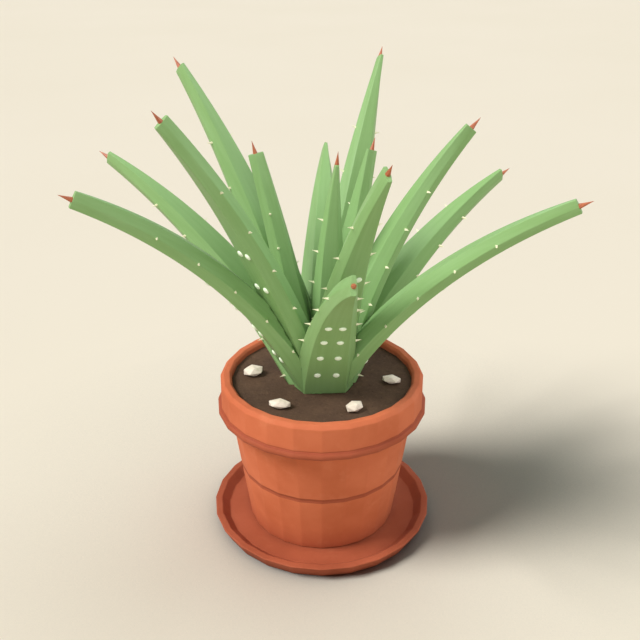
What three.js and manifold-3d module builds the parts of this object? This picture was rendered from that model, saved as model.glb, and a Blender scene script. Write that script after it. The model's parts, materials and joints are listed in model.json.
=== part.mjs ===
// An aloe vera in a clay pot: saucer, pot, soil, pebbles, and 14 toothed leaves round a short stem.
// Lengths are in millimetres, angles in degrees. Z is up, the front is -Y, and the saucer stands on z = 0.
import * as THREE from "three";
import { mergeVertices } from "three/addons/utils/BufferGeometryUtils.js";
import Module from "manifold-3d";

const wasm = await Module();
wasm.setup();

const GAP = 0.3; // between two pieces that touch
const FLATS = 24; // sides of the pot, the saucer and the soil, with a corner at the front
const SAME_POINT = 1e-4; // corners closer than this are one

// Saucer
const SAUCER_FOOT_RADIUS = 79;
const SAUCER_RIM_RADIUS = 84.2;
const SAUCER_HEIGHT = 10.6;
const SAUCER_CHAMFER = { width: 0.8, height: 0.5 };
const SAUCER_MOUTH_RADIUS = 79.1;
const SAUCER_FLOOR_RADIUS = 73.1;
const SAUCER_FLOOR = 5.2;

// Pot, which stands on the saucer's floor
const POT_FOOT = SAUCER_FLOOR + GAP;
const FOOT_RADIUS = 55.8;
const NECK = { radius: 68.3, z: 96.8 };
const RING = { z: 53, height: 3.5, depth: 0.5 };
const BEAD = { radius: 74.7, z: 100.8, thickness: 3, from: -110, to: 80, step: 38 };
const RIM_RADIUS = 75;
const RIM_TOP = 124.4;
const RIM_CHAMFER = { width: 2.4, height: 2.7 };
const RIM_LIP_RADIUS = 68.4;
const MOUTH_RADIUS = 66.6;
const LIP_DROP = 1.8;
const WALL = 6;
const DRAIN_RADIUS = 6;

// Soil and the stem that stands in it
const SOIL_TOP = 119.4;
const STEM = { bottom: 98, top: 127, lowRadius: 8.5, highRadius: 6, sides: 12 };

// Leaves start at the stem and bend evenly from the lean at their base to the lean at their tip
const CROWN_RADIUS = 9;
const CROWN_HEIGHT = 115.5;
const ROOT_LENGTH = 6; // of each leaf, below the crown's height
const ROOT_SHRINK = 0.8;
const BLADE = {
  steps: 12,
  halfWidth: 20.2, // at the base, to the toothed edge
  tipHalfWidth: 2.1,
  widthPower: 1.56, // how late the edges run in
  halfThickness: 10.5,
  tipHalfThickness: 5.2,
  thicknessPower: 0.82,
  upperFlat: 0.56, // width of the flat inner side, as a share of the blade's
  upperRise: 1.09, // its height, as a share of the half thickness
  lowerFlat: 0.69, // width of the flat outer side
};
const CLEARANCE = { width: 0.5, thickness: 0.35, length: 0.4 };
const TOOTH = {
  pairs: 6,
  first: 0.068, // of the leaf's length, as its spacing is
  spacing: 0.139,
  length: 3.8,
  radius: 1.35,
  sunk: 1.6,
  sides: 4,
  lift: 15, // towards the tip
};
const SPOT = { rows: 4, first: 0.17, spacing: 0.126, apart: 0.47, radius: 2.6, height: 1.1 };
const SPIKE = { length: 8.9, radius: 2.1, sunk: 2, sides: 6 };

// Heading: from the front (0) round to the right (90). Lean: above level, at the base and at the tip.
// Where their bases crowd together each gives way to those before it, an order in which all reach the soil.
const LEAVES = [
  { name: "leaf_inner_left", heading: -110, lean: [79.5, 74.5], length: 173, roll: 18, girth: 0.96 },
  { name: "leaf_middle_left", heading: -51, lean: [73.5, 52.5], length: 239, roll: 2, girth: 0.95 },
  { name: "leaf_outer_left_front", heading: -63.5, lean: [66, 28], length: 231, roll: 0, girth: 1 },
  { name: "leaf_outer_left_back", heading: -115.5, lean: [58, 25.5], length: 227, roll: -16, girth: 0.98 },
  { name: "leaf_middle_back_left", heading: -126, lean: [74, 49.5], length: 246, roll: -12, girth: 1 },
  { name: "leaf_inner_back", heading: 123.5, lean: [94.5, 83.5], length: 164, roll: 57, girth: 0.79 },
  { name: "leaf_inner_right", heading: 135.5, lean: [82, 70.5], length: 171, roll: 0, girth: 0.86 },
  { name: "leaf_middle_back_right", heading: 159.5, lean: [69.5, 53.5], length: 245, roll: 32, girth: 0.95 },
  { name: "leaf_outer_back", heading: 179, lean: [60, 20], length: 209, roll: 8, girth: 1.04 },
  { name: "leaf_middle_right", heading: 96.5, lean: [78.5, 50], length: 210, roll: 11, girth: 0.88 },
  { name: "leaf_middle_front", heading: 19.5, lean: [75.5, 50], length: 215, roll: -1, girth: 0.94 },
  { name: "leaf_outer_right_front", heading: 65, lean: [62, 29], length: 229, roll: 7, girth: 0.9 },
  { name: "leaf_outer_front", heading: 7.5, lean: [67.5, 29], length: 185, roll: -4, girth: 1.07 },
  { name: "leaf_outer_right_back", heading: 121.5, lean: [59.5, 23.5], length: 205, roll: 16, girth: 0.98 },
];
const ONE_TOOTHED_SIDE = { leaf_inner_back: 1, leaf_outer_back: -1 };

// Pebbles on the soil: centre, half sizes and turn
const STONES = [
  { name: "stone_left", x: -51, y: 5, size: [8.6, 6.6, 4], turn: 20 },
  { name: "stone_front_left", x: -29.5, y: -41, size: [9, 5.2, 3.4], turn: -8 },
  { name: "stone_front_right", x: 22.5, y: -45, size: [7.4, 5.6, 3.8], turn: 40 },
  { name: "stone_right", x: 51, y: -7, size: [8, 4.8, 3.2], turn: 165 },
];
const STONE_SUNK = 0.35; // share of a pebble's half height that its flat underside takes off
const STONE_BLOCK = 4; // sides of the block that cuts the underside, in half sizes of the pebble

const FINISH = {
  pot: { color: 0xc96a40, roughness: 0.8 },
  saucer: { color: 0xa44c2e, roughness: 0.8 },
  soil: { color: 0x4a3a2c, roughness: 0.95 },
  stone: { color: 0xe6dac0, roughness: 0.7 },
  leaf: { color: 0x86a866, roughness: 0.5 },
  stem: { color: 0x9db37c, roughness: 0.7 },
};

// Solids

function solidOf(geometry) {
  geometry.deleteAttribute("normal");
  geometry.deleteAttribute("uv");
  const merged = mergeVertices(geometry, SAME_POINT);
  const mesh = new wasm.Mesh({
    numProp: 3,
    vertProperties: new Float32Array(merged.attributes.position.array),
    triVerts: new Uint32Array(merged.index.array),
  });
  return new wasm.Manifold(mesh);
}

function largestBody(solid) {
  const bodies = solid.decompose();
  return bodies.reduce((best, body) => (body.volume() > best.volume() ? body : best));
}

function geometryOf(solid) {
  const mesh = solid.getMesh();
  const geometry = new THREE.BufferGeometry();
  geometry.setAttribute("position", new THREE.BufferAttribute(mesh.vertProperties, 3));
  geometry.setIndex(new THREE.BufferAttribute(mesh.triVerts, 1));
  const faceted = geometry.toNonIndexed();
  faceted.computeVertexNormals();
  return faceted;
}

function meshOf(name, solid, finish) {
  const material = new THREE.MeshStandardMaterial({ ...finish, metalness: 0 });
  const mesh = new THREE.Mesh(geometryOf(solid), material);
  mesh.name = name;
  return mesh;
}

// A body of revolution with flats, from the points of its half outline as [radius, z]
function turned(outline, sides = FLATS) {
  const points = outline.map(([radius, z]) => new THREE.Vector2(radius, z));
  points.push(points[0].clone());
  const geometry = new THREE.LatheGeometry(points, sides);
  return geometry.rotateX(Math.PI / 2);
}

// Pot, saucer, soil and stem

function saucer() {
  const chamfer = SAUCER_CHAMFER;
  return turned([
    [0, 0],
    [SAUCER_FOOT_RADIUS, 0],
    [SAUCER_RIM_RADIUS, SAUCER_HEIGHT - chamfer.height],
    [SAUCER_RIM_RADIUS - chamfer.width, SAUCER_HEIGHT],
    [SAUCER_MOUTH_RADIUS, SAUCER_HEIGHT],
    [SAUCER_FLOOR_RADIUS, SAUCER_FLOOR],
    [0, SAUCER_FLOOR],
  ]);
}

function bodyRadius(z) {
  const share = (z - POT_FOOT) / (NECK.z - POT_FOOT);
  return FOOT_RADIUS + (NECK.radius - FOOT_RADIUS) * share;
}

// The bead's outline from the neck up to the rim's wall, as an arc about its centre
function beadOutline() {
  const points = [];
  for (let angle = BEAD.from; angle <= BEAD.to; angle += BEAD.step) {
    const turn = THREE.MathUtils.degToRad(angle);
    const radius = BEAD.radius + BEAD.thickness * Math.cos(turn);
    points.push([radius, BEAD.z + BEAD.thickness * Math.sin(turn)]);
  }
  return points;
}

function pot() {
  const ringLow = RING.z - RING.height / 2;
  const ringHigh = RING.z + RING.height / 2;
  const inside = potInside();
  return turned([
    [DRAIN_RADIUS, POT_FOOT],
    [FOOT_RADIUS, POT_FOOT],
    [bodyRadius(ringLow), ringLow],
    [bodyRadius(RING.z) - RING.depth, RING.z],
    [bodyRadius(ringHigh), ringHigh],
    [NECK.radius, NECK.z],
    ...beadOutline(),
    [RIM_RADIUS, RIM_TOP - RIM_CHAMFER.height],
    [RIM_RADIUS - RIM_CHAMFER.width, RIM_TOP],
    [RIM_LIP_RADIUS, RIM_TOP],
    ...inside.reverse(),
    [DRAIN_RADIUS, POT_FOOT + WALL],
  ]);
}

// The pot's inner outline, from its floor to its mouth
function potInside() {
  return [
    [bodyRadius(POT_FOOT + WALL) - WALL, POT_FOOT + WALL],
    [NECK.radius - WALL, NECK.z],
    [MOUTH_RADIUS, BEAD.z],
    [MOUTH_RADIUS, RIM_TOP - LIP_DROP],
  ];
}

// Soil fills the pot, a gap inside its wall
function soil() {
  const outline = potInside().map(([radius, z]) => [radius - GAP, Math.min(z, SOIL_TOP)]);
  outline[0][1] += GAP;
  return turned([[0, outline[0][1]], ...outline, [0, SOIL_TOP]]);
}

function stem(grow = 0) {
  const outline = [
    [0, STEM.bottom - grow],
    [STEM.lowRadius + grow, STEM.bottom - grow],
    [STEM.highRadius + grow, STEM.top + grow],
    [0, STEM.top + grow],
  ];
  return turned(outline, STEM.sides);
}

// Leaves

// The leaf's centre at share t of its length, with its directions along, across and out of the inner face
function leafFrame(leaf, t) {
  const heading = THREE.MathUtils.degToRad(leaf.heading);
  const roll = THREE.MathUtils.degToRad(leaf.roll);
  const [low, high] = leaf.lean.map(THREE.MathUtils.degToRad);
  const lean = low + (high - low) * t;
  const outward = new THREE.Vector3(Math.sin(heading), -Math.cos(heading), 0);
  const up = new THREE.Vector3(0, 0, 1);
  const reach = CROWN_RADIUS + (leaf.length * (Math.sin(lean) - Math.sin(low))) / (high - low);
  const height = CROWN_HEIGHT - (leaf.length * (Math.cos(lean) - Math.cos(low))) / (high - low);
  const centre = outward.clone().multiplyScalar(reach).addScaledVector(up, height);
  const along = outward.clone().multiplyScalar(Math.cos(lean)).addScaledVector(up, Math.sin(lean));
  const level = new THREE.Vector3(Math.cos(heading), Math.sin(heading), 0);
  const across = level.applyAxisAngle(along, roll);
  const inward = new THREE.Vector3().crossVectors(across, along).negate();
  return { centre, along, across, inward };
}

// Half width and half thickness of the blade at share t of its length
function leafSize(leaf, t) {
  const narrowing = 1 - Math.max(t, 0) ** BLADE.widthPower;
  const thinning = 1 - Math.max(t, 0) ** BLADE.thicknessPower;
  const width = BLADE.tipHalfWidth + (BLADE.halfWidth - BLADE.tipHalfWidth) * narrowing;
  const thickness = BLADE.tipHalfThickness + (BLADE.halfThickness - BLADE.tipHalfThickness) * thinning;
  return { width: width * leaf.girth, thickness: thickness * leaf.girth };
}

function leafPoint(frame, sideways, inward) {
  return frame.centre.clone().addScaledVector(frame.across, sideways).addScaledVector(frame.inward, inward);
}

// The six corners of the blade's section, seen with the inner face up
function leafSection(frame, width, thickness) {
  const corners = [
    [1, 0],
    [BLADE.upperFlat, BLADE.upperRise],
    [-BLADE.upperFlat, BLADE.upperRise],
    [-1, 0],
    [-BLADE.lowerFlat, -1],
    [BLADE.lowerFlat, -1],
  ];
  return corners.map(([sideways, inward]) => leafPoint(frame, sideways * width, inward * thickness));
}

// A closed skin over sections that all have the same number of corners
function loft(sections) {
  const corners = sections[0].length;
  const points = sections.flat();
  const faces = [];
  for (let ring = 0; ring + 1 < sections.length; ring++) {
    for (let corner = 0; corner < corners; corner++) {
      const next = (corner + 1) % corners;
      const a = ring * corners + corner;
      const b = ring * corners + next;
      faces.push(a, b, b + corners, a, b + corners, a + corners);
    }
  }
  const last = (sections.length - 1) * corners;
  for (let corner = 1; corner + 1 < corners; corner++) {
    faces.push(0, corner + 1, corner);
    faces.push(last, last + corner, last + corner + 1);
  }
  const geometry = new THREE.BufferGeometry().setFromPoints(points);
  return geometry.setIndex(faces);
}

// The blade with its root; extra is how much it is enlarged, as a clearance for its neighbours
function blade(leaf, extra = { width: 0, thickness: 0, length: 0 }) {
  const root = leafFrame(leaf, 0);
  root.centre.addScaledVector(root.along, -ROOT_LENGTH - extra.length);
  const base = leafSize(leaf, 0);
  const rootWidth = base.width * ROOT_SHRINK + extra.width;
  const rootThickness = base.thickness * ROOT_SHRINK + extra.thickness;
  const sections = [leafSection(root, rootWidth, rootThickness)];
  for (let step = 0; step <= BLADE.steps; step++) {
    const t = step / BLADE.steps;
    const size = leafSize(leaf, t);
    const frame = leafFrame(leaf, t);
    if (step === BLADE.steps) frame.centre.addScaledVector(frame.along, extra.length);
    sections.push(leafSection(frame, size.width + extra.width, size.thickness + extra.thickness));
  }
  return solidOf(loft(sections));
}

// A cone from a point on the leaf, with its root sunk below it
function thorn(point, direction, { radius, length, sunk, sides }) {
  const cone = new THREE.ConeGeometry(radius, length + sunk, sides);
  const turn = new THREE.Quaternion().setFromUnitVectors(new THREE.Vector3(0, 1, 0), direction);
  cone.applyQuaternion(turn);
  const middle = point.clone().addScaledVector(direction, (length - sunk) / 2);
  cone.translate(middle.x, middle.y, middle.z);
  return solidOf(cone);
}

function teeth(leaf) {
  const lift = THREE.MathUtils.degToRad(TOOTH.lift);
  const toothed = ONE_TOOTHED_SIDE[leaf.name];
  const sides = toothed ? [toothed] : [-1, 1];
  const solids = [];
  for (let pair = 0; pair < TOOTH.pairs; pair++) {
    const t = TOOTH.first + TOOTH.spacing * pair;
    const frame = leafFrame(leaf, t);
    const { width } = leafSize(leaf, t);
    for (const side of sides) {
      const direction = frame.across.clone().multiplyScalar(side * Math.cos(lift));
      direction.addScaledVector(frame.along, Math.sin(lift));
      solids.push(thorn(leafPoint(frame, side * width, 0), direction, TOOTH));
    }
  }
  return solids;
}

function spots(leaf) {
  const solids = [];
  for (let row = 0; row < SPOT.rows; row++) {
    const frame = leafFrame(leaf, SPOT.first + SPOT.spacing * row);
    const { width, thickness } = leafSize(leaf, SPOT.first + SPOT.spacing * row);
    for (const side of [-1, 1]) {
      const place = leafPoint(frame, side * SPOT.apart * BLADE.lowerFlat * width, -thickness);
      const dome = new THREE.IcosahedronGeometry(1, 0).scale(SPOT.radius, SPOT.radius, SPOT.height);
      const axes = new THREE.Matrix4().makeBasis(frame.across, frame.along, frame.inward.clone().negate());
      dome.applyMatrix4(axes.setPosition(place));
      solids.push(solidOf(dome));
    }
  }
  return solids;
}

function spike(leaf) {
  const frame = leafFrame(leaf, 1);
  return thorn(frame.centre, frame.along, SPIKE);
}

// Each leaf keeps clear of the stem and of the leaves before it. A tooth or spot that would sink into a
// neighbour is left off.
function leafSolids(stemClearance) {
  const bodies = new Map();
  const clearances = [];
  for (const leaf of LEAVES) {
    let body = blade(leaf).subtract(stemClearance);
    for (const clearance of clearances) body = body.subtract(clearance);
    bodies.set(leaf, largestBody(body));
    clearances.push(blade(leaf, CLEARANCE));
  }
  const finished = new Map();
  for (const [index, leaf] of LEAVES.entries()) {
    let body = bodies.get(leaf);
    const others = clearances.filter((_, other) => other !== index);
    for (const growth of [...teeth(leaf), ...spots(leaf), spike(leaf)]) {
      const crowded = others.some((other) => growth.intersect(other).volume() > 0);
      const rooted = body.intersect(growth).volume() > 0;
      if (rooted && !crowded) body = body.add(growth);
    }
    finished.set(leaf, largestBody(body));
  }
  return { finished, clearances };
}

// A lump with a flat underside, just above the soil
function stone({ x, y, size, turn }) {
  const lump = new THREE.IcosahedronGeometry(1, 0).scale(...size);
  lump.rotateZ(THREE.MathUtils.degToRad(turn));
  const [width, depth, height] = size;
  const underside = SOIL_TOP + GAP;
  const centre = underside + height * (1 - STONE_SUNK);
  lump.translate(x, y, centre);
  const below = new THREE.BoxGeometry(width, depth, height).scale(STONE_BLOCK, STONE_BLOCK, STONE_BLOCK);
  below.translate(x, y, underside - (height * STONE_BLOCK) / 2);
  return solidOf(lump).subtract(solidOf(below));
}

const stemClearance = solidOf(stem(GAP));
const { finished, clearances } = leafSolids(stemClearance);
let ground = solidOf(soil()).subtract(stemClearance);
for (const clearance of clearances) ground = ground.subtract(clearance);

const plant = new THREE.Group();
plant.add(meshOf("saucer", solidOf(saucer()), FINISH.saucer));
plant.add(meshOf("pot", solidOf(pot()), FINISH.pot));
plant.add(meshOf("soil", largestBody(ground), FINISH.soil));
for (const spec of STONES) plant.add(meshOf(spec.name, stone(spec), FINISH.stone));
plant.add(meshOf("stem", solidOf(stem()), FINISH.stem));
for (const [leaf, solid] of finished) plant.add(meshOf(leaf.name, solid, FINISH.leaf));

export default plant;
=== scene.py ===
"""A potted aloe vera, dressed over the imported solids.

Sizes are in millimetres and angles in degrees unless a name or comment says otherwise. They become metres
where a mesh, material or camera is made. Z is up and the front of the pot looks along -Y.
"""

import json
import math

import bmesh
import bpy
from mathutils import Matrix, Vector, noise
from mathutils.kdtree import KDTree

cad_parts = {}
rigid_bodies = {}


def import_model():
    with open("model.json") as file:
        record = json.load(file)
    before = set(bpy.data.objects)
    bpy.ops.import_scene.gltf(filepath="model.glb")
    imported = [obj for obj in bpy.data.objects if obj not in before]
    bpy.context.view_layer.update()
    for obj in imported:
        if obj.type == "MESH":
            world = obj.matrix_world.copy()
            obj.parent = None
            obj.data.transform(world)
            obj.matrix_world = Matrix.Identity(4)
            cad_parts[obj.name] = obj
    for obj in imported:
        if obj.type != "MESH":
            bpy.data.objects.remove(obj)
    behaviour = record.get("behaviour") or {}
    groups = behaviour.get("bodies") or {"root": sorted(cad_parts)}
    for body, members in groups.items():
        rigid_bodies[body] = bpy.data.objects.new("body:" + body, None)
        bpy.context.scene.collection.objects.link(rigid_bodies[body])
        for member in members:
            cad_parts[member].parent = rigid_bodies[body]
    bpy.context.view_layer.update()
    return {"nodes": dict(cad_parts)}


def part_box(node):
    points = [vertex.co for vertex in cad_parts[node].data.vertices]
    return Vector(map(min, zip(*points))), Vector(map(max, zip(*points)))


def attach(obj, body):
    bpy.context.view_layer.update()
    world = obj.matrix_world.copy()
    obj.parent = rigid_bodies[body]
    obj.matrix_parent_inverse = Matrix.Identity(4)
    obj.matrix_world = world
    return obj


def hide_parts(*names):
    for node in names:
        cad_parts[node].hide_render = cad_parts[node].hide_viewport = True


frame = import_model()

MM = 0.001
BODY = "root"

# Camera, for the photograph's square frame
IMAGE_SIZE_PX = 640
FOCAL_LENGTH_PX = 879.2
POT_AXIS_X_PX = 321.9
SENSOR_WIDTH = 36
CAMERA_ELEVATION = 26.33
CAMERA_DISTANCE = 630.5
AIM_HEIGHT = 166.8
CLIP_END = 20000

# Lamps: azimuth from the front (0) round to the right (90), elevation, strength, spread and tint
WHITE = (1, 1, 1)
COOL = (0.84, 1, 1.06)
LAMPS = {
    "key": (-78, 47, 3.8, 24, WHITE),
    "back": (-174, 26, 0.35, 30, COOL),
    "back_right": (128, 30, 0.85, 60, COOL),
}
FILL_LAMPS = {
    "fill_front": (-2, 25, 1.15, 50, WHITE),
    "fill_low": (12, 8, 0.45, 50, WHITE),
    "fill_right": (88, 25, 0.92, 50, WHITE),
    "fill_left_back": (-125, 25, 0.4, 50, WHITE),
    "fill_top_right": (112, 62, 0.88, 50, WHITE),
}

# Colours are sRGB codes
BACKDROP = "f1e7d4"
FLOOR_HALF_SIZE = 12000

# Painted shade, a deeper colour where other faces are near: within what reach, and how strongly
AO_SAMPLES = 8
CREASE_SHADE_REACH = 6
CREASE_SHADE_SHARE = 0.5
CONTACT_SHADE_REACH = 300
CONTACT_SHADE_SHARE = 1
# the colour of the floor's painted shade
FLOOR_SHADE_COLOUR = "54646a"

# Clay colours: main, darker clouds, pale bloom, and the darkest, which is painted shade in creases and the
# colour of the darker bands
POT_COLOURS = ("c16843", "b15a36", "d0815b", "8e4229")
SAUCER_COLOURS = ("9d4f32", "8b4227", "ac6444", "6f3320")

# Darker bands of clay, all but the bead's being painted shade: from and to which height, their soft edge
# and their strength
POT_DARK_AND_SHADE_BANDS = [
    # darker over the bead
    (98.2, 103.3, 0.4, 0.8),
    # painted shade along the joint above the bead
    (103.3, 104.4, 0.3, 0.8),
    # painted shade in the scored groove
    (51.3, 54.8, 0.3, 0.85),
    # painted shade low on the body, fading upwards from the saucer
    (5, 8, 16, 0.35),
]

# Pot and saucer are turned with flats, with a corner at the front
FLATS = 24
FLAT_ROUND = 0.9  # how far from a corner its rounding starts
LIP_ROUND = 0.6  # the same for the outline's own corners
MOST_OF_SIDE = 0.3  # a rounding takes no more of a side than this share
LIP_STEPS = 2
ROUND_STEPS = 3
FLAT_STEPS = 4
OUTLINE_STEP = 3.5
GAP = 0.3  # between pieces that touch
CAP_RADIUS = 0.5  # where a capped outline starts and ends

SAUCER_FOOT_RADIUS = 79
SAUCER_RIM_RADIUS = 84.2
SAUCER_HEIGHT = 10.6
SAUCER_CHAMFER_WIDTH = 0.8
SAUCER_CHAMFER_HEIGHT = 0.5
SAUCER_MOUTH_RADIUS = 79.1
SAUCER_FLOOR_RADIUS = 73.1
SAUCER_FLOOR = 5.2

POT_FOOT = SAUCER_FLOOR + GAP
FOOT_RADIUS = 55.8
NECK_RADIUS = 68.3
NECK_Z = 96.8
RING_Z = 53
RING_HEIGHT = 3.5
RING_DEPTH = 0.5
BEAD_RADIUS = 74.7
BEAD_Z = 100.8
BEAD_THICKNESS = 3
BEAD_FROM = -110
BEAD_TO = 80
BEAD_STEP = 19
RIM_RADIUS = 75
RIM_TOP = 124.4
RIM_CHAMFER_WIDTH = 2.4
RIM_CHAMFER_HEIGHT = 2.7
RIM_LIP_RADIUS = 68.4
MOUTH_RADIUS = 66.6
LIP_DROP = 1.8
WALL = 6
DRAIN_RADIUS = 6

# Soil, with lumps and finer crumbs on its top
SOIL_TOP = 119.4
SOIL_RINGS = 70
SOIL_RELIEF = 0.35
LUMP_SIZE = 9
LUMP_SHARE = 0.6
CRUMB_SIZE = 2.6
CRUMB_SHARE = 0.6

# Leaves start at the stem and bend evenly from the lean at their base to the lean at their tip
CROWN_RADIUS = 9
CROWN_HEIGHT = 115.5
ROOT_LENGTH = 6
ROOT_SHRINK = 0.8
BLADE_STEPS = 72
CUTTER_STEPS = 24
BLADE_HALF_WIDTH = 20.2
BLADE_TIP_HALF_WIDTH = 2.1
BLADE_WIDTH_POWER = 1.56
BLADE_HALF_THICKNESS = 10.5
BLADE_TIP_HALF_THICKNESS = 5.2
BLADE_THICKNESS_POWER = 0.82
UPPER_FLAT = 0.56  # the inner face's share of the width
UPPER_RISE = 1.09
LOWER_FLAT = 0.69  # the outer face's
RIDGE_ROUND = 0.5
RIDGE_STEPS = 2
FACE_STEPS = 4
END_ROUND = 0.25
CUT_GAP = 0.15  # between a leaf and what gives way to it

# Teeth along both edges, spots on the outer face and a spike. First and spacing are shares of the length
TOOTH_PAIRS = 6
TOOTH_FIRST = 0.068
TOOTH_SPACING = 0.139
TOOTH_LENGTH = 3.8
TOOTH_RADIUS = 1.35
TOOTH_SUNK = 1.6
TOOTH_LIFT = 15
TOOTH_SIDES = 4
TOOTH_WITHIN = 0.1  # a tooth of the solid has a corner this near to its point
SPOT_ROWS = 4
SPOT_FIRST = 0.17
SPOT_SPACING = 0.126
SPOT_APART = 0.47
SPOT_RADIUS = 2.45
SPOT_HEIGHT = 1.15
SPOT_SIDES = 14
SPOT_RINGS = 8
SPOT_WITHIN = 1.42  # a spot of the solid has a corner 1.38 from its top
SPIKE_LENGTH = 8.9
SPIKE_RADIUS = 2.1
SPIKE_SUNK = 2
SPIKE_SIDES = 6
THORN_RINGS = (0, 0.25, 0.5, 0.75, 1)
THORN_POINT = 0.08

# Stations along a leaf that its skin's veins are laid by, some of them before its base and past its end
PLACE_STEPS = 200
PLACES_BEFORE = 6
PLACES_AFTER = 7

# Heading, lean at the base, lean at the tip, length, roll and girth. Each leaf gives way to those above it
LEAVES = {
    "leaf_inner_left": (-110, 79.5, 74.5, 173, 18, 0.96),
    "leaf_middle_left": (-51, 73.5, 52.5, 239, 2, 0.95),
    "leaf_outer_left_front": (-63.5, 66, 28, 231, 0, 1),
    "leaf_outer_left_back": (-115.5, 58, 25.5, 227, -16, 0.98),
    "leaf_middle_back_left": (-126, 74, 49.5, 246, -12, 1),
    "leaf_inner_back": (123.5, 94.5, 83.5, 164, 57, 0.79),
    "leaf_inner_right": (135.5, 82, 70.5, 171, 0, 0.86),
    "leaf_middle_back_right": (159.5, 69.5, 53.5, 245, 32, 0.95),
    "leaf_outer_back": (179, 60, 20, 209, 8, 1.04),
    "leaf_middle_right": (96.5, 78.5, 50, 210, 11, 0.88),
    "leaf_middle_front": (19.5, 75.5, 50, 215, -1, 0.94),
    "leaf_outer_right_front": (65, 62, 29, 229, 7, 0.9),
    "leaf_outer_front": (7.5, 67.5, 29, 185, -4, 1.07),
    "leaf_outer_right_back": (121.5, 59.5, 23.5, 205, 16, 0.98),
}

STONES = ("stone_left", "stone_front_left", "stone_front_right", "stone_right")
PEBBLE_ROUND = 0.2
PEBBLE_FLAT_ANGLE = 2
SMOOTH_ANGLE = 32
MERGE_DISTANCE = 0.001


# Materials


def colour(code):
    """A linear colour from its sRGB code, such as c96a40."""
    channels = [int(code[i : i + 2], 16) / 255 for i in (0, 2, 4)]
    linear = [c / 12.92 if c <= 0.04045 else ((c + 0.055) / 1.055) ** 2.4 for c in channels]
    return (*linear, 1)


class Paint:
    """A material that is built up node by node."""

    def __init__(self, name):
        self.material = bpy.data.materials.new(name)
        self.material.use_nodes = True
        self.tree = self.material.node_tree
        self.shader = self.tree.nodes["Principled BSDF"]

    def node(self, kind, inputs, **settings):
        node = self.tree.nodes.new(kind)
        for key, value in settings.items():
            setattr(node, key, value)
        self.fill(node, inputs)
        return node

    def fill(self, node, inputs):
        for key, value in inputs.items():
            if isinstance(value, bpy.types.NodeSocket):
                self.tree.links.new(value, node.inputs[key])
            else:
                node.inputs[key].default_value = value

    def place(self):
        return self.node("ShaderNodeTexCoord", {}).outputs["Object"]

    def attribute(self, name):
        return self.node("ShaderNodeAttribute", {}, attribute_name=name).outputs["Vector"]

    def stretched(self, place, scale):
        """The place with each axis scaled by its own number, which draws noise on it out."""
        inputs = {"Vector": place, "Scale": scale}
        return self.node("ShaderNodeMapping", inputs).outputs["Vector"]

    def grain(self, place, scale, detail=3, roughness=0.55):
        """Noise, with a scale that counts its waves in a metre."""
        inputs = {"Vector": place, "Scale": scale, "Detail": detail, "Roughness": roughness}
        return self.node("ShaderNodeTexNoise", inputs).outputs["Fac"]

    def span(self, value, low, high, new_low=0.0, new_high=1.0):
        inputs = {"Value": value, "From Min": low, "From Max": high, "To Min": new_low, "To Max": new_high}
        return self.node("ShaderNodeMapRange", inputs).outputs["Result"]

    def blend(self, factor, first, second):
        mix = self.node("ShaderNodeMix", {"Factor": factor}, data_type="RGBA")
        colours = [socket for socket in mix.inputs if socket.type == "RGBA"]
        for socket, value in zip(colours, (first, second)):
            if isinstance(value, bpy.types.NodeSocket):
                self.tree.links.new(value, socket)
            else:
                socket.default_value = value
        return next(socket for socket in mix.outputs if socket.type == "RGBA")

    def mottle(self, grain, first, second, low=0.3, high=0.7):
        """Two colours, the first where the grain is low and the second where it is high."""
        return self.blend(self.span(grain, low, high), colour(first), colour(second))

    def axis(self, place, name):
        return self.node("ShaderNodeSeparateXYZ", {"Vector": place}).outputs[name]

    def band(self, value, low, high, soft):
        """1 between low and high, falling to 0 over a soft edge."""
        rise = self.span(value, low - soft, low)
        fall = self.span(value, high, high + soft, 1, 0)
        return self.node("ShaderNodeMath", {0: rise, 1: fall}, operation="MULTIPLY").outputs["Value"]

    def painted_shade_near(self, reach, share):
        """How much painted shade a point gets from other faces crowding it, from 0 in the open up to the
        share.
        """
        openness = self.node("ShaderNodeAmbientOcclusion", {"Distance": reach * MM}, samples=AO_SAMPLES)
        return self.span(openness.outputs["AO"], 0, 1, share, 0)

    def bump(self, height, depth, strength, under=None):
        inputs = {"Height": height, "Distance": depth * MM, "Strength": strength}
        if under is not None:
            inputs["Normal"] = under
        return self.node("ShaderNodeBump", inputs).outputs["Normal"]

    def finish(self, **inputs):
        self.fill(self.shader, {key.replace("_", " "): value for key, value in inputs.items()})
        return self.material


def clay(name, colours, bands):
    """Unglazed clay: cloudy colour, fine grit and faint pale bloom, with painted shade in creases and
    darker bands where given.
    """
    main, dark, pale, deep_and_shade = (colour(code) for code in colours)
    paint = Paint(name)
    place = paint.place()
    clouds = paint.span(paint.grain(place, scale=22, detail=4), 0.35, 0.68)
    body = paint.blend(clouds, main, dark)
    bloom = paint.span(paint.grain(place, scale=60, detail=5, roughness=0.7), 0.56, 0.8, 0, 0.35)
    body = paint.blend(bloom, body, pale)
    grit = paint.grain(place, scale=1400, detail=2)
    body = paint.blend(paint.span(grit, 0.6, 0.75, 0, 0.25), body, dark)
    height = paint.axis(place, "Z")
    for low, high, soft, share in bands:
        mask = paint.band(height, low * MM, high * MM, soft * MM)
        body = paint.blend(paint.span(mask, 0, 1, 0, share), body, deep_and_shade)
    # painted shade: a deeper colour in creases, where other faces are near
    body = paint.blend(paint.painted_shade_near(CREASE_SHADE_REACH, CREASE_SHADE_SHARE), body, deep_and_shade)
    pores = paint.bump(grit, depth=0.12, strength=0.5)
    relief = paint.bump(paint.grain(place, scale=180), depth=0.5, strength=0.25, under=pores)
    rough = paint.span(clouds, 0, 1, 0.72, 0.86)
    return paint.finish(Base_Color=body, Roughness=rough, Normal=relief, Specular_IOR_Level=0.25)


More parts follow.
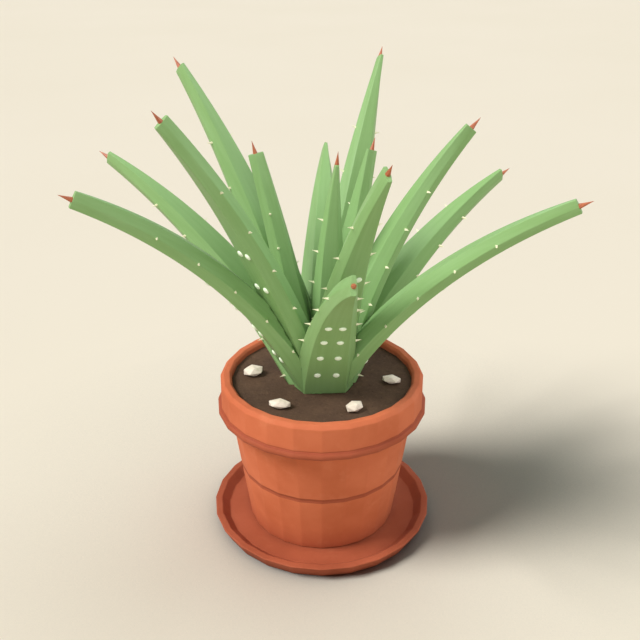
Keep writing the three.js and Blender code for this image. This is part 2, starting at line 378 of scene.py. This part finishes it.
def soil_material():
    """Dark potting soil with paler and darker crumbs."""
    paint = Paint("soil")
    place = paint.place()
    body = paint.mottle(paint.grain(place, scale=40, detail=4), "4a382c", "594434")
    crumbs = paint.grain(place, scale=500, detail=4, roughness=0.6)
    body = paint.blend(paint.span(crumbs, 0.55, 0.72, 0, 0.5), body, colour("69513f"))
    body = paint.blend(paint.span(crumbs, 0.3, 0.42, 0.5, 0), body, colour("2f211a"))
    relief = paint.bump(crumbs, depth=0.8, strength=0.6)
    return paint.finish(Base_Color=body, Roughness=0.95, Normal=relief, Specular_IOR_Level=0.15)


def stone_material():
    """Pale cream stone with fine darker specks."""
    paint = Paint("stone")
    place = paint.place()
    body = paint.mottle(paint.grain(place, scale=160, detail=4), "e7d9c7", "d2c4b0", 0.35, 0.65)
    specks = paint.grain(place, scale=1800, detail=2)
    body = paint.blend(paint.span(specks, 0.62, 0.72, 0, 0.4), body, colour("a79b86"))
    relief = paint.bump(specks, depth=0.2, strength=0.4)
    return paint.finish(Base_Color=body, Roughness=0.7, Normal=relief, Specular_IOR_Level=0.3)


def leaf_skin():
    """Waxy skin with fine veins along the leaf and a few paler clouds, with painted shade near its base."""
    paint = Paint("leaf_skin")
    place = paint.attribute("leaf_place")
    veins = paint.grain(paint.stretched(place, (420, 12, 420)), scale=1)
    clouds = paint.grain(paint.stretched(place, (60, 14, 60)), scale=1)
    body = paint.mottle(veins, "83a76a", "7da162", 0.35, 0.65)
    body = paint.blend(paint.span(clouds, 0.45, 0.7, 0, 0.5), body, colour("89ab72"))
    # painted shade: deeper green at the leaf's base, fading out 60 mm along it
    low = paint.span(paint.axis(place, "Y"), 0, 60 * MM, 0.45, 0)
    body = paint.blend(low, body, colour("65864b"))
    relief = paint.bump(veins, depth=0.3, strength=0.12)
    rough = paint.span(clouds, 0.3, 0.7, 0.42, 0.55)
    return paint.finish(Base_Color=body, Roughness=rough, Normal=relief, Specular_IOR_Level=0.35)


def grained(name, scale, detail, colours, roughness):
    """Two close colours, mixed by a fine grain."""
    paint = Paint(name)
    body = paint.mottle(paint.grain(paint.place(), scale, detail), *colours)
    return paint.finish(Base_Color=body, Roughness=roughness)


def tooth_material():
    return grained("tooth", scale=900, detail=2, colours=("f4efcf", "e6e0b6"), roughness=0.5)


def spot_material():
    """Pale, slightly rough bumps."""
    paint = Paint("spot")
    grain = paint.grain(paint.place(), scale=1200)
    body = paint.mottle(grain, "f0f8e2", "dcebc8")
    relief = paint.bump(grain, depth=0.2, strength=0.5)
    return paint.finish(Base_Color=body, Roughness=0.6, Normal=relief)


def spike_material():
    return grained("spike", scale=700, detail=3, colours=("b5653f", "9c5233"), roughness=0.5)


def stem_material():
    return grained("stem", scale=300, detail=3, colours=("9db37c", "7f9a60"), roughness=0.7)


def floor_material():
    """Pale card, with painted shade close to what stands on it."""
    paint = Paint("floor")
    body = paint.mottle(paint.grain(paint.place(), scale=1.5, detail=2), "f0e4d0", "eee2cd")
    # painted shade on the floor close to the saucer and plant
    body = paint.blend(paint.painted_shade_near(CONTACT_SHADE_REACH, CONTACT_SHADE_SHARE), body, colour(FLOOR_SHADE_COLOUR))
    return paint.finish(Base_Color=body, Roughness=0.9, Specular_IOR_Level=0.1)


LEAF_PAINTS = [leaf_skin(), tooth_material(), spot_material(), spike_material()]
TOOTH, SPOT, SPIKE = 1, 2, 3  # places in LEAF_PAINTS, where the skin comes first


# Meshes


def mesh_object(name, points, faces, materials, face_materials=None):
    """An object made from points in millimetres."""
    mesh = bpy.data.meshes.new(name)
    mesh.from_pydata([Vector(point) * MM for point in points], [], faces)
    for material in materials:
        mesh.materials.append(material)
    if face_materials is not None:
        mesh.polygons.foreach_set("material_index", face_materials)
    thing = bpy.data.objects.new(name, mesh)
    bpy.context.scene.collection.objects.link(thing)
    return thing


def shade(piece):
    """Flat faces stay flat, and only the narrow strips that round their edges turn smoothly."""
    piece.data.polygons.foreach_set("use_smooth", [True] * len(piece.data.polygons))
    piece.data.set_sharp_from_angle(angle=math.radians(SMOOTH_ANGLE))
    normals = piece.modifiers.new("normals", "WEIGHTED_NORMAL")
    normals.keep_sharp = True


def ring_faces(rings, corners, closed=False, start=0):
    """Faces between rings of points, with the last ring joined to the first or both ends capped."""
    faces = []
    for ring in range(rings if closed else rings - 1):
        low = start + ring * corners
        high = start + (ring + 1) % rings * corners
        for corner in range(corners):
            after = (corner + 1) % corners
            faces.append((low + corner, low + after, high + after, high + corner))
    if not closed:
        last = start + (rings - 1) * corners
        faces.append(tuple(reversed(range(start, start + corners))))
        faces.append(tuple(range(last, last + corners)))
    return faces


def rounded(corners, reach, round_steps, side_steps):
    """Points round a closed outline with rounded corners. side_steps gives the parts of each side."""
    corners = [Vector(corner) for corner in corners]
    count = len(corners)

    def towards(corner, other):
        side = other - corner
        return corner + side * min(reach / side.length, MOST_OF_SIDE)

    points = []
    for index, corner in enumerate(corners):
        after = corners[(index + 1) % count]
        start = towards(corner, corners[index - 1])
        end = towards(corner, after)
        for step in range(round_steps + 1):
            share = step / round_steps
            points.append(start.lerp(corner, share).lerp(corner.lerp(end, share), share))
        next_start = towards(after, corner)
        parts = side_steps[index]
        points += [end.lerp(next_start, step / parts) for step in range(1, parts)]
    return points


def cut_by(piece, cutters, operation="DIFFERENCE"):
    """Applies booleans to a piece, one after the other."""
    for cutter in cutters:
        modifier = piece.modifiers.new("boolean", "BOOLEAN")
        modifier.operation = operation
        modifier.solver = "MANIFOLD"
        modifier.object = cutter
    shape = piece.evaluated_get(bpy.context.evaluated_depsgraph_get())
    piece.data = bpy.data.meshes.new_from_object(shape)
    piece.modifiers.clear()


def keep_largest(piece):
    """Drops every loose scrap of a mesh but its largest body."""
    shape = bmesh.new()
    shape.from_mesh(piece.data)
    left = set(shape.verts)
    bodies = []
    while left:
        body = set()
        front = [left.pop()]
        while front:
            vert = front.pop()
            body.add(vert)
            near = {edge.other_vert(vert) for edge in vert.link_edges} & left
            left -= near
            front += near
        bodies.append(body)
    bodies.sort(key=len)
    for body in bodies[:-1]:
        bmesh.ops.delete(shape, geom=list(body), context="VERTS")
    shape.to_mesh(piece.data)
    shape.free()


# Pot, saucer and soil


def body_radius(z):
    share = (z - POT_FOOT) / (NECK_Z - POT_FOOT)
    return FOOT_RADIUS + (NECK_RADIUS - FOOT_RADIUS) * share


def bead_outline():
    angles = [math.radians(angle) for angle in range(BEAD_FROM, BEAD_TO + 1, BEAD_STEP)]
    return [
        (BEAD_RADIUS + BEAD_THICKNESS * math.cos(angle), BEAD_Z + BEAD_THICKNESS * math.sin(angle))
        for angle in angles
    ]


def pot_inside():
    return [
        (body_radius(POT_FOOT + WALL) - WALL, POT_FOOT + WALL),
        (NECK_RADIUS - WALL, NECK_Z),
        (MOUTH_RADIUS, BEAD_Z),
        (MOUTH_RADIUS, RIM_TOP - LIP_DROP),
    ]


def pot_outline():
    ring_low = RING_Z - RING_HEIGHT / 2
    ring_high = RING_Z + RING_HEIGHT / 2
    return [
        (DRAIN_RADIUS, POT_FOOT),
        (FOOT_RADIUS, POT_FOOT),
        (body_radius(ring_low), ring_low),
        (body_radius(RING_Z) - RING_DEPTH, RING_Z),
        (body_radius(ring_high), ring_high),
        (NECK_RADIUS, NECK_Z),
        *bead_outline(),
        (RIM_RADIUS, RIM_TOP - RIM_CHAMFER_HEIGHT),
        (RIM_RADIUS - RIM_CHAMFER_WIDTH, RIM_TOP),
        (RIM_LIP_RADIUS, RIM_TOP),
        *reversed(pot_inside()),
        (DRAIN_RADIUS, POT_FOOT + WALL),
    ]


def saucer_outline():
    return [
        (CAP_RADIUS, 0),
        (SAUCER_FOOT_RADIUS, 0),
        (SAUCER_RIM_RADIUS, SAUCER_HEIGHT - SAUCER_CHAMFER_HEIGHT),
        (SAUCER_RIM_RADIUS - SAUCER_CHAMFER_WIDTH, SAUCER_HEIGHT),
        (SAUCER_MOUTH_RADIUS, SAUCER_HEIGHT),
        (SAUCER_FLOOR_RADIUS, SAUCER_FLOOR),
        (CAP_RADIUS, SAUCER_FLOOR),
    ]


def flat_ring(radius, z):
    """A ring of FLATS sides with softened corners, its first corner at the front."""
    turns = [2 * math.pi * flat / FLATS - math.pi / 2 for flat in range(FLATS)]
    corners = [(radius * math.cos(turn), radius * math.sin(turn)) for turn in turns]
    ring = rounded(corners, FLAT_ROUND, ROUND_STEPS, [FLAT_STEPS] * FLATS)
    return [(point.x, point.y, z) for point in ring]


def turned(name, outline, material, capped=False):
    """A body of revolution with flats, from its outline as (radius, z).

    The outline closes on itself, or starts and ends near the axis and is capped there.
    """
    sides = [(Vector(b) - Vector(a)).length for a, b in zip(outline, outline[1:] + outline[:1])]
    steps = [max(1, round(side / OUTLINE_STEP)) for side in sides]
    soft = rounded(outline, LIP_ROUND, LIP_STEPS, steps)
    if capped:
        soft = soft[LIP_STEPS:-LIP_STEPS]
    points = []
    for radius, z in soft:
        points += flat_ring(radius, z)
    corners = len(points) // len(soft)
    faces = ring_faces(len(soft), corners, closed=not capped)
    piece = mesh_object(name, points, faces, [material])
    shade(piece)
    return piece


def soil(material, cutters):
    """Soil that fills the pot, with a crumbly top, and holes where stem and leaves stand in it."""
    (foot, floor), *walls = [(radius - GAP, min(z, SOIL_TOP)) for radius, z in pot_inside()]
    outline = [(foot / 2, floor + GAP), (foot, floor + GAP), *walls]
    points = []
    for radius, z in outline:
        points += flat_ring(radius, z)
    edge = walls[-1][0]
    for ring in range(1, SOIL_RINGS):
        for x, y, z in flat_ring(edge * (1 - ring / SOIL_RINGS), SOIL_TOP):
            place = Vector((x, y, 0))
            lumps = noise.noise(place / LUMP_SIZE) + CRUMB_SHARE * noise.noise(place / CRUMB_SIZE)
            points.append((x, y, z - SOIL_RELIEF + SOIL_RELIEF * lumps * LUMP_SHARE))
    rings = len(outline) + SOIL_RINGS - 1
    corners = len(points) // rings
    piece = mesh_object("potting_soil", points, ring_faces(rings, corners), [material])
    cut_by(piece, cutters)
    keep_largest(piece)
    shade(piece)
    return piece


def pebble(node, material):
    """A pebble with its facets kept and its edges worn down."""
    shape = bmesh.new()
    shape.from_mesh(frame["nodes"][node].data)
    bmesh.ops.remove_doubles(shape, verts=shape.verts, dist=MERGE_DISTANCE * MM)
    flat = math.radians(PEBBLE_FLAT_ANGLE)
    bmesh.ops.dissolve_limit(shape, angle_limit=flat, verts=shape.verts, edges=shape.edges)
    bmesh.ops.bevel(shape, geom=shape.edges[:], offset=PEBBLE_ROUND * MM, segments=1, affect="EDGES")
    mesh = bpy.data.meshes.new(node)
    shape.to_mesh(mesh)
    shape.free()
    mesh.materials.clear()
    mesh.materials.append(material)
    piece = bpy.data.objects.new(node.replace("stone", "pebble"), mesh)
    bpy.context.scene.collection.objects.link(piece)
    return piece


# Leaves


class Leaf:
    """A leaf's own measures, and where each share t of its length lies."""

    def __init__(self, name, heading, low, high, length, roll, girth):
        self.name = name
        self.heading = math.radians(heading)
        self.low = math.radians(low)
        self.high = math.radians(high)
        self.length = length
        self.roll = math.radians(roll)
        self.girth = girth

    def axes(self, t):
        """Centre, and the directions along, across and out of the inner face."""
        outward = Vector((math.sin(self.heading), -math.cos(self.heading), 0))
        lean = self.low + (self.high - self.low) * t
        bend = self.length / (self.high - self.low)
        reach = CROWN_RADIUS + bend * (math.sin(lean) - math.sin(self.low))
        height = CROWN_HEIGHT - bend * (math.cos(lean) - math.cos(self.low))
        centre = outward * reach + Vector((0, 0, height))
        along = outward * math.cos(lean) + Vector((0, 0, math.sin(lean)))
        level = Vector((math.cos(self.heading), math.sin(self.heading), 0))
        across = Matrix.Rotation(self.roll, 3, along) @ level
        return centre, along, across, along.cross(across)

    def size(self, t):
        """Half width and half thickness."""
        narrowing = 1 - t**BLADE_WIDTH_POWER
        thinning = 1 - t**BLADE_THICKNESS_POWER
        width = BLADE_TIP_HALF_WIDTH + (BLADE_HALF_WIDTH - BLADE_TIP_HALF_WIDTH) * narrowing
        thickness = BLADE_TIP_HALF_THICKNESS + (BLADE_HALF_THICKNESS - BLADE_TIP_HALF_THICKNESS) * thinning
        return width * self.girth, thickness * self.girth


def section_corners(width, thickness):
    """The six corners across a blade, as (sideways, inward)."""
    return [
        (width, 0),
        (UPPER_FLAT * width, UPPER_RISE * thickness),
        (-UPPER_FLAT * width, UPPER_RISE * thickness),
        (-width, 0),
        (-LOWER_FLAT * width, -thickness),
        (LOWER_FLAT * width, -thickness),
    ]


def placed(axes, outline):
    centre, _, across, inward = axes
    return [centre + across * sideways + inward * rise for sideways, rise in outline]


def root_axes(leaf, extra=0):
    centre, along, across, inward = leaf.axes(0)
    return centre - along * (ROOT_LENGTH + extra), along, across, inward


def cutter(leaf, gap):
    """The blade's plain outline, grown by a gap, that its neighbours are cut with."""
    width, thickness = leaf.size(0)
    outline = section_corners(width * ROOT_SHRINK + gap, thickness * ROOT_SHRINK + gap)
    points = placed(root_axes(leaf, gap), outline)
    for step in range(CUTTER_STEPS + 1):
        t = step / CUTTER_STEPS
        width, thickness = leaf.size(t)
        centre, along, across, inward = leaf.axes(t)
        if step == CUTTER_STEPS:
            centre = centre + along * gap
        points += placed((centre, along, across, inward), section_corners(width + gap, thickness + gap))
    return mesh_object(leaf.name + "_cutter", points, ring_faces(CUTTER_STEPS + 2, 6), LEAF_PAINTS)


def blade(leaf):
    """The leaf's body: six faces with softened ridges, a sunk root and a blunt end."""
    stations = []
    width, thickness = leaf.size(0)
    stations.append((root_axes(leaf), width * ROOT_SHRINK, thickness * ROOT_SHRINK))
    for step in range(BLADE_STEPS + 1):
        t = step / BLADE_STEPS
        width, thickness = leaf.size(t)
        centre, along, across, inward = leaf.axes(t)
        if step == BLADE_STEPS:
            stations.append(((centre - along * END_ROUND, along, across, inward), width, thickness))
            width -= END_ROUND
            thickness -= END_ROUND
        stations.append(((centre, along, across, inward), width, thickness))
    points = []
    for axes, width, thickness in stations:
        outline = rounded(section_corners(width, thickness), RIDGE_ROUND, RIDGE_STEPS, [FACE_STEPS] * 6)
        points += placed(axes, outline)
    corners = len(points) // len(stations)
    return mesh_object(leaf.name, points, ring_faces(len(stations), corners), LEAF_PAINTS)


class Growths:
    """Teeth, spots and spike of one leaf, gathered in one mesh of closed bodies."""

    def __init__(self):
        self.points = []
        self.faces = []
        self.paints = []

    def add(self, rings, paint):
        corners = len(rings[0])
        faces = ring_faces(len(rings), corners, start=len(self.points))
        for ring in rings:
            self.points += ring
        self.faces += faces
        self.paints += [paint] * len(faces)

    def thorn(self, root, direction, radius, length, sunk, sides, paint):
        """A cone with flat sides and a blunt point that starts sunk below the surface."""
        turn = Vector((0, 1, 0)).rotation_difference(direction)
        start = root - direction * sunk
        shape = []
        for share in THORN_RINGS:
            middle = start + direction * (length + sunk) * share
            spread = max(radius * (1 - share), THORN_POINT)
            circle = []
            for corner in range(sides):
                angle = 2 * math.pi * corner / sides
                way = turn @ Vector((math.sin(angle), 0, math.cos(angle)))
                circle.append(middle + way * spread)
            shape.append(circle)
        self.add(shape, paint)

    def dome(self, middle, across, along, outward):
        """A spot, as a flattened ball of rings that stops a quarter step short of its poles."""
        shape = []
        for ring in range(SPOT_RINGS + 1):
            slope = math.pi * (ring + 0.25) / (SPOT_RINGS + 0.5) - math.pi / 2
            reach = SPOT_RADIUS * math.cos(slope)
            centre = middle + outward * SPOT_HEIGHT * math.sin(slope)
            circle = []
            for corner in range(SPOT_SIDES):
                angle = 2 * math.pi * corner / SPOT_SIDES
                circle.append(centre + (across * math.cos(angle) + along * math.sin(angle)) * reach)
            shape.append(circle)
        self.add(shape, SPOT)


def solid_has(tree, point, within):
    """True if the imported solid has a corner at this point."""
    return tree.find(Vector(point) * MM)[2] < within * MM


def corner_tree(node):
    verts = frame["nodes"][node].data.vertices
    tree = KDTree(len(verts))
    for index, vert in enumerate(verts):
        tree.insert(vert.co, index)
    tree.balance()
    return tree


def growths(leaf):
    """The teeth, spots and spike that the leaf's solid has."""
    made = Growths()
    corners = corner_tree(leaf.name)
    lift = math.radians(TOOTH_LIFT)
    for pair in range(TOOTH_PAIRS):
        t = TOOTH_FIRST + TOOTH_SPACING * pair
        centre, along, across, _ = leaf.axes(t)
        width, _ = leaf.size(t)
        for side in (-1, 1):
            root = centre + across * side * width
            direction = across * side * math.cos(lift) + along * math.sin(lift)
            if solid_has(corners, root + direction * TOOTH_LENGTH, TOOTH_WITHIN):
                made.thorn(root, direction, TOOTH_RADIUS, TOOTH_LENGTH, TOOTH_SUNK, TOOTH_SIDES, TOOTH)
    for row in range(SPOT_ROWS):
        t = SPOT_FIRST + SPOT_SPACING * row
        centre, along, across, inward = leaf.axes(t)
        width, thickness = leaf.size(t)
        for side in (-1, 1):
            middle = centre + across * side * SPOT_APART * LOWER_FLAT * width - inward * thickness
            if solid_has(corners, middle - inward * SPOT_HEIGHT, SPOT_WITHIN):
                made.dome(middle, across, along, -inward)
    centre, along, _, _ = leaf.axes(1)
    made.thorn(centre, along, SPIKE_RADIUS, SPIKE_LENGTH, SPIKE_SUNK, SPIKE_SIDES, SPIKE)
    return mesh_object(leaf.name + "_growths", made.points, made.faces, LEAF_PAINTS, made.paints)


def mark_places(piece, leaf):
    """Stores where each point lies on its leaf, across, along and inward in metres, for the skin."""
    steps = range(-PLACES_BEFORE, PLACE_STEPS + PLACES_AFTER + 1)
    stations = [leaf.axes(step / PLACE_STEPS) for step in steps]
    tree = KDTree(len(stations))
    for index, station in enumerate(stations):
        tree.insert(station[0] * MM, index)
    tree.balance()
    store = piece.data.attributes.new("leaf_place", "FLOAT_VECTOR", "POINT")
    for index, vert in enumerate(piece.data.vertices):
        near = tree.find(vert.co)[1]
        centre, along, across, inward = stations[near]
        offset = vert.co - centre * MM
        distance = steps[near] / PLACE_STEPS * leaf.length * MM + offset.dot(along)
        store.data[index].vector = (offset.dot(across), distance, offset.dot(inward))


def drop(things):
    for thing in things:
        bpy.data.objects.remove(thing)


def far_apart(first, second):
    """True if the boxes round two objects don't meet."""
    a = [Vector(corner) for corner in first.bound_box]
    b = [Vector(corner) for corner in second.bound_box]
    for axis in range(3):
        low_a, high_a = min(c[axis] for c in a), max(c[axis] for c in a)
        low_b, high_b = min(c[axis] for c in b), max(c[axis] for c in b)
        if low_a > high_b or low_b > high_a:
            return True
    return False


def grow_leaves(stem_cutter):
    """Builds the leaves, each clear of the stem and of the leaves before it, and returns their cutters."""
    cutters = []
    for name, measures in LEAVES.items():
        leaf = Leaf(name, *measures)
        piece = blade(leaf)
        near = [stem_cutter, *(other for other in cutters if not far_apart(piece, other))]
        cut_by(piece, near)
        keep_largest(piece)
        extras = growths(leaf)
        cut_by(piece, [extras], "UNION")
        mark_places(piece, leaf)
        shade(piece)
        piece.name = name.replace("leaf", "aloe_leaf")
        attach(piece, BODY)
        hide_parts(name)
        drop([extras])
        cutters.append(cutter(leaf, CUT_GAP))
    return cutters


# Scene


def stem_solid(gap):
    """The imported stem's shape, grown a little, to cut with."""
    low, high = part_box("stem")
    node = frame["nodes"]["stem"]
    shape = bmesh.new()
    shape.from_mesh(node.data)
    bmesh.ops.remove_doubles(shape, verts=shape.verts, dist=MERGE_DISTANCE * MM)
    middle = (low + high) / 2
    size = high - low
    for vert in shape.verts:
        offset = vert.co - middle
        grown = [offset[axis] * (1 + 2 * gap * MM / size[axis]) for axis in range(3)]
        vert.co = middle + Vector(grown)
    mesh = bpy.data.meshes.new("stem_cutter")
    shape.to_mesh(mesh)
    shape.free()
    thing = bpy.data.objects.new("stem_cutter", mesh)
    bpy.context.scene.collection.objects.link(thing)
    return thing


def place_camera():
    elevation = math.radians(CAMERA_ELEVATION)
    back = Vector((0, -math.cos(elevation), math.sin(elevation)))
    aim_x = (IMAGE_SIZE_PX / 2 - POT_AXIS_X_PX) * CAMERA_DISTANCE / FOCAL_LENGTH_PX
    aim = Vector((aim_x, 0, AIM_HEIGHT))
    data = bpy.data.cameras.new("camera")
    data.sensor_width = SENSOR_WIDTH
    data.lens = FOCAL_LENGTH_PX / IMAGE_SIZE_PX * SENSOR_WIDTH
    data.clip_end = CLIP_END * MM
    camera = bpy.data.objects.new("camera", data)
    camera.location = (aim + back * CAMERA_DISTANCE) * MM
    camera.rotation_mode = "QUATERNION"
    camera.rotation_quaternion = (-back).to_track_quat("-Z", "Y")
    bpy.context.scene.collection.objects.link(camera)
    bpy.context.scene.camera = camera


def add_lamp(name, azimuth, elevation, strength, spread, tint, receivers):
    """A distant lamp. Its azimuth goes from the front (0) round to the right (90)."""
    data = bpy.data.lights.new(name, "SUN")
    data.energy = strength
    data.angle = math.radians(spread)
    data.color = tint
    lamp = bpy.data.objects.new(name, data)
    turn = math.radians(azimuth)
    rise = math.radians(elevation)
    way = Vector((math.sin(turn) * math.cos(rise), -math.cos(turn) * math.cos(rise), math.sin(rise)))
    lamp.rotation_mode = "QUATERNION"
    lamp.rotation_quaternion = way.to_track_quat("Z", "Y")
    lamp.light_linking.receiver_collection = receivers
    bpy.context.scene.collection.objects.link(lamp)


def light_scene():
    """A key lamp from the left, two behind, and soft fill that reaches the plant but not the floor.

    The backdrop is only seen, and lights nothing.
    """
    world = bpy.data.worlds.new("studio")
    world.use_nodes = True
    background = world.node_tree.nodes["Background"]
    background.inputs["Color"].default_value = colour(BACKDROP)
    bpy.context.scene.world = world
    for kind in ("diffuse", "glossy", "transmission", "scatter"):
        setattr(world.cycles_visibility, kind, False)
    plant = bpy.data.collections.new("plant")
    for thing in bpy.context.scene.objects:
        if thing.type == "MESH" and thing.name != "floor":
            plant.objects.link(thing)
    for name, lamp in LAMPS.items():
        add_lamp(name, *lamp, None)
    for name, lamp in FILL_LAMPS.items():
        add_lamp(name, *lamp, plant)
    bpy.context.scene.view_settings.view_transform = "Standard"


def lay_floor():
    size = FLOOR_HALF_SIZE
    corners = [(-size, -size, 0), (size, -size, 0), (size, size, 0), (-size, size, 0)]
    floor = mesh_object("floor", corners, [(0, 1, 2, 3)], [floor_material()])


place_camera()
lay_floor()

pot_paint = clay("pot_clay", POT_COLOURS, POT_DARK_AND_SHADE_BANDS)
pot = turned("clay_pot", pot_outline(), pot_paint)
saucer_paint = clay("saucer_clay", SAUCER_COLOURS, [])
saucer = turned("clay_saucer", saucer_outline(), saucer_paint, capped=True)
stem_cutter = stem_solid(GAP)
cutters = grow_leaves(stem_cutter)
earth = soil(soil_material(), [stem_cutter, *cutters])
drop([stem_cutter, *cutters])
vessels = [(pot, "pot", "pot_clay"), (saucer, "saucer", "saucer_clay"), (earth, "soil", "soil")]
for piece, node, slot in vessels:
    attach(piece, BODY)
    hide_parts(node)
stone_paint = stone_material()
for node in STONES:
    piece = pebble(node, stone_paint)
    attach(piece, BODY)
    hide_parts(node)
stem = frame["nodes"]["stem"]
stem.data.materials.clear()
stem.data.materials.append(stem_material())

light_scene()
